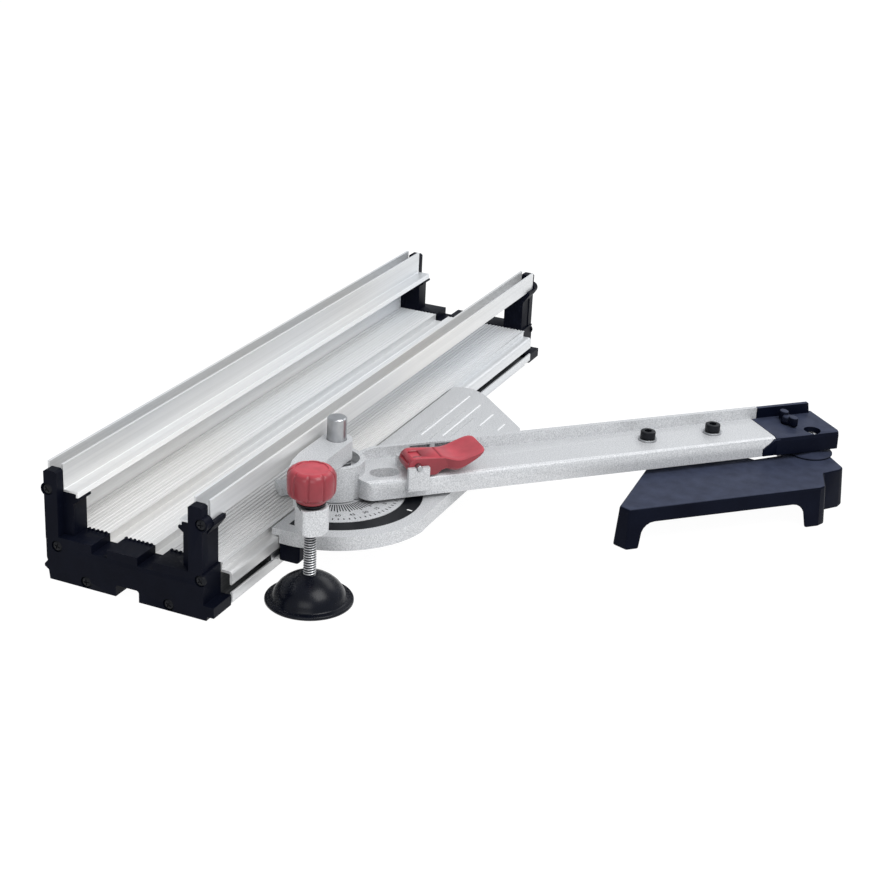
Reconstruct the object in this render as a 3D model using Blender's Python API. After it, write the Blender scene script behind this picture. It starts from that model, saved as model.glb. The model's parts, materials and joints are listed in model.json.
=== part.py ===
"""Rail tile cutter: ribbed base extrusion, two guide rails, swinging mitre fence, clamp and support foot.

Lengths at the top are millimetres; the mesh helpers scale them to metres.  +Z is up, +Y runs along the
rails from the near end to the far end, and +X points to the side that carries the mitre fence.
"""
import math

import bmesh
import bpy
from mathutils import Matrix, Vector

MM = 0.001
ROUND = 40                  # segments on a full turn
GAP = 0.3                   # clearance between pieces that sit against each other
BORE_GAP = 0.3              # radial clearance of a shaft in its bore

# Guide rails
RAIL_LENGTH = 631.0
RAIL_PITCH = 128.0          # from one rail's outer face to the other rail's inner face
HEAD_WIDTH = 14.3
RAIL_TOP = 94.3
GROOVE_FLOOR = 80.3
RAIL_WALL = 2.0
LEDGE_TOP = 73.5
LEDGE_REACH = 26.6
LIP_BOTTOM = 68.5
LEFT_WALL_BOTTOM = 30.0
RIGHT_WALL_BOTTOM = 77.0
WIDTH = RAIL_PITCH + HEAD_WIDTH     # over both rails' outer faces

# Base extrusion
TABLE_TOP = 37.0
TROUGH_FLOOR = 30.3
SKIN = 2.5
BASE_LEFT = 3.0
TABLE_RIGHT = WIDTH - 0.3
TROUGH_ONE = (43.5, 57.5)
TROUGH_TWO = (WIDTH - 58.3, WIDTH - 44.8)
SLOT_LIP = WIDTH + 8.3
SLOT_TOP = 31.0
SLOT_MOUTH = (14.0, 20.0)
SLOT_FLOOR = 8.0

# End caps
CAP_FRONT = -9.0
CAP_BACK = 16.0
COLUMN_TOP = 91.0
COLUMN_WIDTH = 11.7
CAP_SCREW_HEAD = 4.4
CAP_SCREW_SHANK = 2.0
CAP_SCREW_HEAD_HEIGHT = 1.9

# Mitre plate and protractor
PIVOT = (WIDTH + 14.7, 169.5)
PLATE_BOTTOM = 25.0
PLATE_RADIUS = 83.0
PLATE_RIGHT = PIVOT[0] + 82.0
PLATE_LEFT = WIDTH + 2.7
PLATE_FAR = 438.0
RING_OUTER = 71.0
RING_INNER = 57.0
DIAL_CUT = PIVOT[0] - 4.0    # the ring and the disc stop at this X
RECESS_DEPTH = 4.0

# Fence arm, measured along the arm (s) and square to it toward the near side (n)
ARM_ANGLE = 45.0
ARM_BOTTOM = 40.0
WEB_TOP = 56.0
FENCE_TOP = 66.0
FENCE_BACK = -18.0
FENCE_FACE = -14.0
WEB_FRONT = 31.0
WEB_END = 389.5
FENCE_END = 394.5
HUB_RADIUS = 23.5
HUB_TOP = 67.5
HUB_BOTTOM = 38.0
HUB_RECESS = 19.0
HUB_RECESS_FLOOR = 58.0
PRONG_TIP = -46.0
ARM_SCREWS = (277.5, 340.0)
ARM_SCREW_N = 5.5
ARM_SCREW_SHANK = 4.0
ARM_SCREW_HEAD = 6.5

# Cam lever
LEVER_S = 59.0
LEVER_Z = 66.0
LEVER_RADIUS = 9.0
LEVER_N = (6.3, 30.5)
PIN_RADIUS = 2.4

# Extension bar, end piece, wing knob and foot
BAR_START = 203.0
BAR_END = 430.0
BAR_Z = (46.0, 51.0)
BAR_N = (-4.5, 14.5)
BAR_TRAVEL = 50.0
END_TIP = 452.5
WING_S = 417.0
WING_N = 3.0
STEM = (430.0, 22.5)
DISC_RADIUS = 20.0
FOOT_TOP = 35.0
FOOT_SKIN = 3.0
SKIRT_DROP = 13.0

# Hold-down clamp
POST_RADIUS = 8.0
STUD_RADIUS = 4.0           # the post's thinner end inside the plate
POST_TOP = 103.0
BRACKET_Z = (68.0, 84.0)
CLAMP_XY = (PIVOT[0] + 37.0, 57.0)
BOSS_RADIUS = 13.8
BOSS_Z = (58.5, 80.0)
KNOB_RADIUS = 18.75
KNOB_TOP = 110.0
SPINDLE_RADIUS = 4.95
PAD_RADIUS = 34.0
PAD_TOP = 23.0


def finish(name, color, metallic, roughness):
    made = bpy.data.materials.new(name)
    made.use_nodes = True
    shader = made.node_tree.nodes["Principled BSDF"]
    shader.inputs["Base Color"].default_value = (*color, 1.0)
    shader.inputs["Metallic"].default_value = metallic
    shader.inputs["Roughness"].default_value = roughness
    return made


def shell(name, points, faces, material, smooth=False, origin=(0.0, 0.0, 0.0), turn=0.0):
    """One mesh object from millimetre points measured from its origin."""
    mesh = bpy.data.meshes.new(name)
    mesh.from_pydata([Vector(point) * MM for point in points], [], faces)
    work = bmesh.new()
    work.from_mesh(mesh)
    bmesh.ops.recalc_face_normals(work, faces=work.faces)
    work.to_mesh(mesh)
    work.free()
    made = bpy.data.objects.new(name, mesh)
    bpy.context.scene.collection.objects.link(made)
    made.location = Vector(origin) * MM
    made.rotation_euler = (0.0, 0.0, math.radians(turn))
    if material is not None:
        mesh.materials.append(material)
    if smooth:
        mesh.shade_smooth()
        mesh.set_sharp_from_angle(angle=math.radians(35.0))
    return made


def prism(name, outline, low, high, axis, material=None, grow=0.0, **where):
    """Extrude a closed outline.  axis is the letter of the extrusion direction."""
    def lift(pair, level):
        u, v = pair
        if axis == "x":
            return (level, u, v)
        if axis == "y":
            return (u, level, v)
        return (u, v, level)
    count = len(outline)
    middle_u = sum(pair[0] for pair in outline) / count
    middle_v = sum(pair[1] for pair in outline) / count
    points = []
    for pair in outline:
        away = Vector((pair[0] - middle_u, pair[1] - middle_v))
        if grow:
            away = away + away.normalized() * grow
        points.append(lift((middle_u + away.x, middle_v + away.y), low))
    for pair in outline:
        points.append(lift(pair, high))
    faces = [list(range(count)), list(range(2 * count - 1, count - 1, -1))]
    for index in range(count):
        after = (index + 1) % count
        faces.append([index, after, count + after, count + index])
    return shell(name, points, faces, material, **where)


def turned(name, profile, centre=(0.0, 0.0), axis="z", material=None, segments=ROUND, **where):
    """Turn a closed (radius, height) profile; a radius of zero lies on the axis."""
    points = []
    rings = []
    for radius, height in profile:
        ring = []
        steps = 1 if radius < 1e-6 else segments
        for step in range(steps):
            angle = 2.0 * math.pi * step / segments
            u = radius * math.cos(angle)
            v = radius * math.sin(angle)
            if axis == "z":
                points.append((centre[0] + u, centre[1] + v, height))
            elif axis == "y":
                points.append((centre[0] + u, height, centre[1] + v))
            else:
                points.append((height, centre[0] + u, centre[1] + v))
            ring.append(len(points) - 1)
        rings.append(ring)
    faces = []
    pairs = list(zip(rings, rings[1:] + rings[:1]))
    for lower, upper in pairs:
        for step in range(segments):
            after = (step + 1) % segments
            corners = [lower[step % len(lower)], lower[after % len(lower)],
                       upper[after % len(upper)], upper[step % len(upper)]]
            unique = list(dict.fromkeys(corners))
            if len(unique) > 2:
                faces.append(unique)
    where.setdefault("smooth", True)
    return shell(name, points, faces, material, **where)


def disc_outline(centre, radius, first=0.0, last=360.0, steps=ROUND):
    full = abs(last - first) >= 360.0
    count = steps if full else steps + 1
    return [(centre[0] + radius * math.cos(math.radians(first + (last - first) * k / steps)),
             centre[1] + radius * math.sin(math.radians(first + (last - first) * k / steps)))
            for k in range(count)]


def tool(made):
    made.hide_render = True
    made.display_type = "WIRE"
    return made


def boolean(target, other, operation):
    step = target.modifiers.new(operation.lower() + "_" + other.name, "BOOLEAN")
    step.operation = operation
    step.solver = "EXACT"
    step.object = tool(other)


def cut(target, *others):
    for other in others:
        boolean(target, other, "DIFFERENCE")


def add(target, *others):
    for other in others:
        boolean(target, other, "UNION")


def hex_nut(name, centre, corner_radius, bore, low, high, **where):
    nut = prism(name, disc_outline(centre, corner_radius, steps=6), low, high, "z", STEEL, **where)
    hole = [(0.0, low - 1.0), (bore, low - 1.0), (bore, high + 1.0), (0.0, high + 1.0)]
    cut(nut, turned(name + "_hole", hole, centre, "z", None, 32, **where))


for leftover in list(bpy.data.objects):
    bpy.data.objects.remove(leftover)

ALUMINIUM = finish("extruded_aluminium", (0.78, 0.79, 0.80), 0.9, 0.38)
CASTING = finish("die_cast_silver", (0.70, 0.72, 0.74), 0.7, 0.5)
BLACK = finish("black_plastic", (0.018, 0.02, 0.026), 0.0, 0.45)
RED = finish("red_plastic", (0.50, 0.07, 0.10), 0.0, 0.35)
STEEL = finish("bright_steel", (0.62, 0.63, 0.65), 1.0, 0.28)
GLOSS = finish("gloss_black", (0.01, 0.011, 0.014), 0.0, 0.2)
DARK = finish("blackened_steel", (0.05, 0.05, 0.055), 0.8, 0.45)

# ---------------------------------------------------------------- guide rails
GROOVE_UNDER = GROOVE_FLOOR - RAIL_WALL
LEDGE_UNDER = LEDGE_TOP - RAIL_WALL


def rail_profile(outer_bottom):
    inner = HEAD_WIDTH - RAIL_WALL
    return [(0.0, outer_bottom), (0.0, RAIL_TOP), (RAIL_WALL, RAIL_TOP), (RAIL_WALL, GROOVE_FLOOR),
            (inner, GROOVE_FLOOR), (inner, RAIL_TOP), (HEAD_WIDTH, RAIL_TOP), (HEAD_WIDTH, LEDGE_TOP),
            (LEDGE_REACH, LEDGE_TOP), (LEDGE_REACH, LIP_BOTTOM), (LEDGE_REACH - RAIL_WALL, LIP_BOTTOM),
            (LEDGE_REACH - RAIL_WALL, LEDGE_UNDER), (inner, LEDGE_UNDER), (inner, GROOVE_UNDER),
            (RAIL_WALL, GROOVE_UNDER), (RAIL_WALL, outer_bottom)]


prism("left_guide_rail", rail_profile(LEFT_WALL_BOTTOM), 0.0, RAIL_LENGTH, "y", ALUMINIUM)
right_profile = [(WIDTH - x, z) for x, z in rail_profile(RIGHT_WALL_BOTTOM)]
prism("right_guide_rail", right_profile, 0.0, RAIL_LENGTH, "y", ALUMINIUM)

# ------------------------------------------------------------- base extrusion
UNDER_TABLE = TABLE_TOP - SKIN
UNDER_TROUGH = TROUGH_FLOOR - SKIN
SLOT_WALL = TABLE_RIGHT - 1.6
base_profile = [
    (BASE_LEFT, 0.0), (BASE_LEFT, TABLE_TOP), (TROUGH_ONE[0], TABLE_TOP), (TROUGH_ONE[0], TROUGH_FLOOR),
    (TROUGH_ONE[1], TROUGH_FLOOR), (TROUGH_ONE[1], TABLE_TOP), (TROUGH_TWO[0], TABLE_TOP),
    (TROUGH_TWO[0], TROUGH_FLOOR), (TROUGH_TWO[1], TROUGH_FLOOR), (TROUGH_TWO[1], TABLE_TOP),
    (TABLE_RIGHT, TABLE_TOP), (TABLE_RIGHT + 0.8, TABLE_TOP - 0.8), (TABLE_RIGHT, TABLE_TOP - 2.0),
    (TABLE_RIGHT, SLOT_TOP), (SLOT_LIP - 2.2, SLOT_TOP), (SLOT_LIP - 0.6, SLOT_TOP - 0.6),
    (SLOT_LIP, SLOT_TOP - 2.0), (SLOT_LIP, SLOT_MOUTH[1]), (SLOT_LIP - 2.0, SLOT_MOUTH[1]),
    (SLOT_LIP - 2.0, SLOT_TOP - 2.8), (SLOT_LIP - 2.8, SLOT_TOP - 2.0), (SLOT_WALL, SLOT_TOP - 2.0),
    (SLOT_WALL, SLOT_FLOOR), (SLOT_LIP - 1.6, SLOT_FLOOR), (SLOT_LIP - 1.6, SLOT_MOUTH[0]),
    (SLOT_LIP + 0.4, SLOT_MOUTH[0]), (SLOT_LIP + 0.4, SLOT_FLOOR - 1.0), (SLOT_LIP - 0.6, SLOT_FLOOR - 2.0),
    (SLOT_WALL + 5.1, SLOT_FLOOR - 2.0), (SLOT_WALL + 5.1, 0.0),
    (SLOT_WALL - 10.4, 0.0), (SLOT_WALL - 10.4, 2.0),
    (SLOT_WALL - 2.0, 2.0), (SLOT_WALL - 2.0, UNDER_TABLE), (TROUGH_TWO[1] + SKIN, UNDER_TABLE),
    (TROUGH_TWO[1] + SKIN, UNDER_TROUGH), (TROUGH_TWO[0] - SKIN, UNDER_TROUGH),
    (TROUGH_TWO[0] - SKIN, UNDER_TABLE), (TROUGH_ONE[1] + SKIN, UNDER_TABLE),
    (TROUGH_ONE[1] + SKIN, UNDER_TROUGH), (TROUGH_ONE[0] - SKIN, UNDER_TROUGH),
    (TROUGH_ONE[0] - SKIN, UNDER_TABLE), (BASE_LEFT + SKIN, UNDER_TABLE), (BASE_LEFT + SKIN, 2.0),
    (18.0, 2.0), (18.0, 0.0)]
prism("base_extrusion", base_profile, CAP_BACK + GAP, RAIL_LENGTH - CAP_BACK - GAP, "y", ALUMINIUM)

# ------------------------------------------------------------------- end caps
CAP_SCREWS = [(5.2, 75.1, 5.5), (WIDTH - 3.4, 77.0, 5.5), (12.2, 29.0, 20.0),
              (WIDTH - 3.9, 31.5, 20.0), (37.8, 4.9, 20.0), (110.8, 4.9, 20.0)]
cap_block = [
    (5.0, 0.0), (4.0, 7.5), (0.4, 10.0), (0.4, 12.0), (3.4, 15.5), (2.6, 18.0), (2.6, TABLE_TOP),
    (TROUGH_ONE[0], TABLE_TOP),
    (TROUGH_ONE[0], TROUGH_FLOOR), (TROUGH_ONE[1], TROUGH_FLOOR), (TROUGH_ONE[1], TABLE_TOP),
    (TROUGH_TWO[0], TABLE_TOP), (TROUGH_TWO[0], TROUGH_FLOOR), (TROUGH_TWO[1], TROUGH_FLOOR),
    (TROUGH_TWO[1], TABLE_TOP), (TABLE_RIGHT - 1.0, TABLE_TOP), (TABLE_RIGHT - 1.0, 12.0),
    (SLOT_LIP - 0.6, 12.0), (SLOT_LIP - 0.6, 3.5), (SLOT_LIP - 6.1, 3.5), (SLOT_LIP - 7.1, 0.0),
    (85.0, 0.0), (85.0, 8.0), (83.5, 9.5), (66.0, 9.5),
    (64.5, 8.0), (64.5, 0.0)]
post_left = [
    (2.6, TABLE_TOP - 2.0), (2.6, GROOVE_UNDER - GAP), (HEAD_WIDTH - RAIL_WALL - GAP, GROOVE_UNDER - GAP),
    (HEAD_WIDTH - RAIL_WALL - GAP, LEDGE_UNDER - GAP), (LEDGE_REACH - RAIL_WALL - GAP, LEDGE_UNDER - GAP),
    (LEDGE_REACH - RAIL_WALL - GAP, LIP_BOTTOM - GAP), (LEDGE_REACH + 0.7, LIP_BOTTOM - GAP),
    (LEDGE_REACH + 0.7, LIP_BOTTOM - 2.0), (23.0, 63.5), (23.0, TABLE_TOP - 2.0)]
post_mirror = [(WIDTH - x, z) for x, z in post_left[2:]]
post_right = [(WIDTH - 3.3, TABLE_TOP - 2.0), (WIDTH - 3.3, 66.0), (WIDTH + 3.2, RIGHT_WALL_BOTTOM - 2.0),
              (WIDTH + 3.2, RIGHT_WALL_BOTTOM + 1.2), (WIDTH + GAP, RIGHT_WALL_BOTTOM + 1.2),
              (WIDTH + GAP, RIGHT_WALL_BOTTOM - GAP), (WIDTH - RAIL_WALL - GAP, RIGHT_WALL_BOTTOM - GAP),
              (WIDTH - RAIL_WALL - GAP, GROOVE_UNDER - GAP)] + post_mirror


def end_cap(prefix, place):
    """place(y) maps a distance from the near end to where this cap sits."""
    def span(low, high):
        ends = sorted((place(low), place(high)))
        return ends[0], ends[1]

    cap = prism(prefix + "_end_cap", cap_block, *span(CAP_FRONT, CAP_BACK), "y", BLACK)
    add(cap, prism(prefix + "_left_post", post_left, *span(-1.0, CAP_BACK), "y"))
    add(cap, prism(prefix + "_right_post", post_right, *span(-1.0, CAP_BACK), "y"))
    for side, start in (("left", 2.3), ("right", WIDTH - 2.3 - COLUMN_WIDTH)):
        stop = start + COLUMN_WIDTH
        column = [(start, TABLE_TOP - 3.0), (start, COLUMN_TOP - 1.5), (start + 2.0, COLUMN_TOP),
                  (stop - 2.0, COLUMN_TOP), (stop, COLUMN_TOP - 1.5), (stop, TABLE_TOP - 3.0)]
        add(cap, prism(prefix + "_" + side + "_column", column, *span(CAP_FRONT, -GAP), "y"))
    for number, (x, z, reach) in enumerate(CAP_SCREWS[:2], 1):
        boss = disc_outline((x, z), 5.65, steps=22)
        add(cap, prism(prefix + "_screw_boss_" + str(number), boss, *span(CAP_FRONT, -GAP), "y"))
    for number, (x, z, reach) in enumerate(CAP_SCREWS, 1):
        head_back = CAP_FRONT + CAP_SCREW_HEAD_HEIGHT
        tip = head_back + reach
        solid = [(0.0, CAP_FRONT + 0.1), (CAP_SCREW_HEAD - 0.9, CAP_FRONT + 0.1),
                 (CAP_SCREW_HEAD, CAP_FRONT + 0.9), (CAP_SCREW_HEAD, head_back),
                 (CAP_SCREW_SHANK, head_back), (CAP_SCREW_SHANK, tip), (0.0, tip)]
        room = [(0.0, CAP_FRONT - 1.0), (CAP_SCREW_HEAD + BORE_GAP, CAP_FRONT - 1.0),
                (CAP_SCREW_HEAD + BORE_GAP, head_back + 0.2), (CAP_SCREW_SHANK + BORE_GAP, head_back + 0.2),
                (CAP_SCREW_SHANK + BORE_GAP, tip + 0.5), (0.0, tip + 0.5)]
        name = prefix + "_cap_screw_" + str(number)
        turned(name, [(r, place(y)) for r, y in solid], (x, z), "y", DARK, 24)
        cut(cap, turned(name + "_room", [(r, place(y)) for r, y in room], (x, z), "y", None, 24))


end_cap("near", lambda y: y)
end_cap("far", lambda y: RAIL_LENGTH - y)

# ------------------------------------------------------- mitre plate and dial
PX, PY = PIVOT
PLATE_EDGE = SLOT_LIP + 0.4
arc_start = math.degrees(math.atan2(84.6 - PY, PLATE_EDGE - PX)) + 1.0
plate_outline = [(PLATE_EDGE, 86.8)] + disc_outline(PIVOT, PLATE_RADIUS, arc_start, -6.0, 40)
plate_outline += [(PLATE_RIGHT, 168.0), (PLATE_RIGHT, 366.0), (PX + 79.5, 372.0), (PX + 29.0, 422.0),
                  (PX + 19.0, 431.0), (PX + 6.0, PLATE_FAR), (PLATE_EDGE, PLATE_FAR - 1.0)]
plate = prism("mitre_plate", plate_outline, PLATE_BOTTOM, TABLE_TOP, "z", CASTING)
tongue = [(PLATE_LEFT, 86.0), (PLATE_EDGE + 2.0, 87.2), (PLATE_EDGE + 2.0, PLATE_FAR - 1.5),
          (PLATE_LEFT, PLATE_FAR - 4.0)]
add(plate, prism("plate_tongue", tongue, SLOT_TOP + GAP, TABLE_TOP, "z"))


def dial_sector(radius):
    half = math.degrees(math.acos((DIAL_CUT - PX) / radius))
    return disc_outline(PIVOT, radius, -half, half, 64)


DIAL_FLOOR = TABLE_TOP - RECESS_DEPTH
cut(plate, prism("dial_recess", dial_sector(RING_OUTER + GAP), DIAL_FLOOR, TABLE_TOP + 5.0, "z"))
hollow = [(PX - 1.0, 112.0), (PX + 43.0, 112.0), (PX + 71.0, 150.0), (PX + 75.0, 360.0), (PX + 23.0, 414.0),
          (PX - 1.0, 414.0)]
plate_core = prism("plate_hollow", hollow, PLATE_BOTTOM - 5.0, DIAL_FLOOR - 3.0, "z")
cut(plate_core, turned("pivot_boss_room", [(0, 0), (16, 0), (16, 40), (0, 40)], PIVOT))
cut(plate, plate_core)
for number, step in enumerate((0.0, 14.0, 28.0, 42.0), 1):
    left = PX + 3.0 + step
    strip = [(left, 262.0), (left + 2.0, 260.0), (left + 4.0, 262.0), (left + 4.0, 398.0 - step),
             (left + 2.0, 400.0 - step), (left, 398.0 - step)]
    add(plate, prism("plate_strip_" + str(number), strip, TABLE_TOP - 1.0, TABLE_TOP + 0.8, "z"))
post_room = [(0.0, SLOT_TOP + 1.0 - GAP), (POST_RADIUS + BORE_GAP, SLOT_TOP + 1.0 - GAP),
             (POST_RADIUS + BORE_GAP, 120.0), (0.0, 120.0)]
stud_room = [(0.0, 10.0), (STUD_RADIUS + BORE_GAP, 10.0), (STUD_RADIUS + BORE_GAP, 50.0), (0.0, 50.0)]
cut(plate, turned("plate_stud_room", stud_room, PIVOT, "z", None, 32))
cut(plate, turned("plate_post_room", post_room, PIVOT))

ring = prism("protractor_ring", dial_sector(RING_OUTER), DIAL_FLOOR + GAP, TABLE_TOP - 0.2, "z", BLACK)
cut(ring, prism("ring_middle", dial_sector(RING_INNER) + [(PX - 57.0, PY + 90.0), (PX - 57.0, PY - 90.0)],
                DIAL_FLOOR - 2.0, TABLE_TOP + 2.0, "z"))
dial = prism("protractor_disc", dial_sector(RING_INNER - GAP), DIAL_FLOOR + GAP, TABLE_TOP, "z", CASTING)
cut(dial, turned("dial_post_room", post_room, PIVOT))

JAW_Y = (87.0, 102.0)
for prefix, (low, high) in (("near", JAW_Y), ("far", (396.0, 411.0))):
    block = [(PLATE_EDGE + GAP, 10.0), (PLATE_EDGE + GAP, PLATE_BOTTOM - GAP),
             (PLATE_EDGE + 18.0, PLATE_BOTTOM - GAP), (PLATE_EDGE + 18.0, 12.0), (PLATE_EDGE + 16.0, 10.0)]
    prism(prefix + "_slot_jaw", block, low, high, "y", BLACK)
    nut = [(SLOT_WALL + 1.0, SLOT_FLOOR + 1.2), (SLOT_WALL + 1.0, SLOT_TOP - 3.2),
           (SLOT_LIP - 2.4, SLOT_TOP - 3.2), (SLOT_LIP - 2.4, SLOT_MOUTH[1] - 0.5),
           (PLATE_EDGE, SLOT_MOUTH[1] - 0.5),
           (PLATE_EDGE, SLOT_MOUTH[0] + 0.5), (SLOT_LIP - 2.0, SLOT_MOUTH[0] + 0.5),
           (SLOT_LIP - 2.0, SLOT_FLOOR + 1.2)]
    prism(prefix + "_slot_nut", nut, low - 12.0, high + 12.0, "y", STEEL)

# ------------------------------------------------------------------ fence arm
ARM = {"origin": (PX, PY, 0.0), "turn": ARM_ANGLE}


def at_arm(name, corners, low, high, material=None, **more):
    """Prism over an (s, n) outline in the arm's own frame."""
    return prism(name, [(s, -n) for s, n in corners], low, high, "z", material, **ARM, **more)


def box_arm(name, s_span, n_span, low, high, material=None):
    corners = [(s_span[0], n_span[0]), (s_span[1], n_span[0]), (s_span[1], n_span[1]), (s_span[0], n_span[1])]
    return at_arm(name, corners, low, high, material)


def round_arm(name, s, n, radius, low, high, material=None, segments=ROUND):
    profile = [(0.0, low), (radius, low), (radius, high), (0.0, high)]
    return turned(name, profile, (s, -n), "z", material, segments, **ARM)


def slot_outline(first, last, n, radius):
    ends = disc_outline((last, n), radius, -90.0, 90.0, 12)
    return ends + disc_outline((first, n), radius, 90.0, 270.0, 12)


web = [(-FENCE_BACK, ARM_BOTTOM), (-FENCE_BACK, WEB_TOP), (-WEB_FRONT + 4.0, WEB_TOP),
       (-WEB_FRONT + 1.8, WEB_TOP - 1.0), (-WEB_FRONT + 0.5, WEB_TOP - 3.6), (-WEB_FRONT, ARM_BOTTOM)]
arm = prism("fence_arm", web, 13.0, WEB_END, "x", CASTING, **ARM)
root = [(8.0, -12.0), (14.5, -15.5), (30.0, -15.5), (30.0, 20.0), (13.5, 20.0), (13.5, 14.0)]
add(arm, at_arm("arm_root", root, ARM_BOTTOM + 0.1, WEB_TOP - 0.2))
fence_side = [(12.0, ARM_BOTTOM + 1.0), (12.0, 62.0), (21.0, 62.0), (37.0, FENCE_TOP), (FENCE_END, FENCE_TOP),
              (FENCE_END, ARM_BOTTOM + 1.0)]
add(arm, prism("arm_fence", fence_side, -FENCE_FACE, -FENCE_BACK, "y", **ARM))
add(arm, round_arm("arm_hub", 0.0, 0.0, HUB_RADIUS, HUB_BOTTOM, HUB_TOP))
add(arm, box_arm("arm_prong", (PRONG_TIP, -8.0), (FENCE_BACK, 0.0), HUB_BOTTOM + 0.5, 45.0))
for name, low, high in (("outer_lug", 30.8, 34.8), ("inner_lug", 2.0, 6.0)):
    side = [(LEVER_S - 9.0, WEB_TOP - 8.0), (LEVER_S - 9.0, LEVER_Z), (LEVER_S + 9.0, LEVER_Z),
            (LEVER_S + 9.0, WEB_TOP - 8.0)]
    add(arm, prism(name, side, -high, -low, "y", **ARM))
add(arm, box_arm("lug_foot", (LEVER_S - 9.0, LEVER_S + 9.0), (27.0, 34.8), 46.0, WEB_TOP - 0.6))
cut(arm, round_arm("hub_recess", 0.0, 0.0, HUB_RECESS, HUB_RECESS_FLOOR, HUB_TOP + 5.0))
cut(arm, round_arm("hub_bore", 0.0, 0.0, POST_RADIUS + BORE_GAP, 20.0, 90.0))
cut(arm, at_arm("arm_pocket", slot_outline(33.0, 40.5, 13.5, 8.5), WEB_TOP - 11.0, WEB_TOP + 3.0))
notch = [(WEB_END - 12.5, 30.0), (WEB_END - 12.5, 46.5), (WEB_END - 1.5, 54.6), (WEB_END + 9.0, 54.6),
         (WEB_END + 9.0, 30.0)]
cut(arm, prism("arm_end_notch", notch, -40.0, -WEB_FRONT + 6.0, "y", **ARM))
cut(arm, box_arm("arm_hollow", (72.0, 420.0), (FENCE_FACE + 1.0, WEB_FRONT - 5.0), 30.0, WEB_TOP - 4.5))
for number, (low, high) in enumerate(((68.0, 86.0), (90.0, 104.5)), 1):
    window = [(low, 58.5), (low, 64.2), (high, 64.2), (high, 58.5)]
    cut(arm, prism("fence_window_" + str(number), window, 10.0, 22.0, "y", **ARM))
pin_room = turned("lever_pin_room", [(0.0, -40.0), (PIN_RADIUS + BORE_GAP, -40.0), (PIN_RADIUS + BORE_GAP, 0.0),
                                     (0.0, 0.0)], (LEVER_S, LEVER_Z), "y", None, 24, **ARM)
cut(arm, pin_room)
cut(arm, round_arm("plunger_room", LEVER_S, 18.0, 4.0 + BORE_GAP, 30.0, 70.0))
for number, s in enumerate(ARM_SCREWS, 1):
    cut(arm, round_arm("arm_screw_room_" + str(number), s, ARM_SCREW_N, ARM_SCREW_SHANK + BORE_GAP, 30.0, 70.0))

round_arm("lock_plunger", LEVER_S, 18.0, 4.0, TABLE_TOP + 1.2, LEVER_Z - LEVER_RADIUS - 0.4, STEEL, 24)
for number, s in enumerate(ARM_SCREWS, 1):
    head = [(0.0, 60.5), (3.4, 60.5), (3.4, 64.4), (ARM_SCREW_HEAD - 0.6, 64.4), (ARM_SCREW_HEAD, 63.8),
            (ARM_SCREW_HEAD, 58.2), (ARM_SCREW_SHANK, 58.2), (ARM_SCREW_SHANK, 40.5), (0.0, 40.5)]
    turned("arm_screw_" + str(number), head, (s, -ARM_SCREW_N), "z", STEEL, 32, **ARM)
    ring_flat = [(ARM_SCREW_SHANK + BORE_GAP, WEB_TOP + GAP), (8.0, WEB_TOP + GAP), (8.0, 57.9),
                 (ARM_SCREW_SHANK + BORE_GAP, 57.9)]
    turned("arm_washer_" + str(number), ring_flat, (s, -ARM_SCREW_N), "z", STEEL, 32, **ARM)
    hex_nut("bar_nut_" + str(number), (s, -ARM_SCREW_N), 7.5, ARM_SCREW_SHANK + BORE_GAP, 41.0,
            BAR_Z[0] - GAP, **ARM)

# ------------------------------------------------------------------ cam lever
LEVER_AT = Vector((PX, PY, 0.0)) + Vector((LEVER_S, 0.0, LEVER_Z))
turn_arm = Matrix.Rotation(math.radians(ARM_ANGLE), 3, "Z")
LEVER_AT = Vector((PX, PY, 0.0)) + turn_arm @ Vector((LEVER_S, 0.0, 0.0)) + Vector((0.0, 0.0, LEVER_Z))
LEVER = {"origin": tuple(LEVER_AT), "turn": ARM_ANGLE}
barrel = disc_outline((0.0, -1.0), LEVER_RADIUS - 1.2, 80.0, 290.0, 24)
body = barrel + [(10.0, -9.3), (16.0, -9.2), (21.0, -5.5), (25.0, -4.4), (29.0, -5.6), (33.0, 4.0), (24.0, 4.8),
                 (12.0, 5.8)]
lever = prism("lock_lever", body, -LEVER_N[1], -LEVER_N[0], "y", RED, **LEVER)
paddle = [(25.0, -4.4), (28.0, -5.6), (31.0, -7.4), (36.0, -6.0), (42.0, -3.5), (49.0, 2.0), (54.0, 7.5),
          (55.6, 9.6), (55.0, 11.0), (48.0, 8.0), (41.0, 5.0), (34.0, 3.2), (27.0, 4.0), (23.0, 4.6)]
add(lever, prism("lever_paddle", paddle, -35.5, -3.0, "y", **LEVER))
cut(lever, pin_room)
pin = [(0.0, -36.0), (PIN_RADIUS - 0.4, -36.0), (PIN_RADIUS, -35.6), (PIN_RADIUS, -1.4), (0.0, -1.4)]
turned("lever_pin", pin, (LEVER_S, LEVER_Z), "y", STEEL, 24, **ARM)

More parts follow.
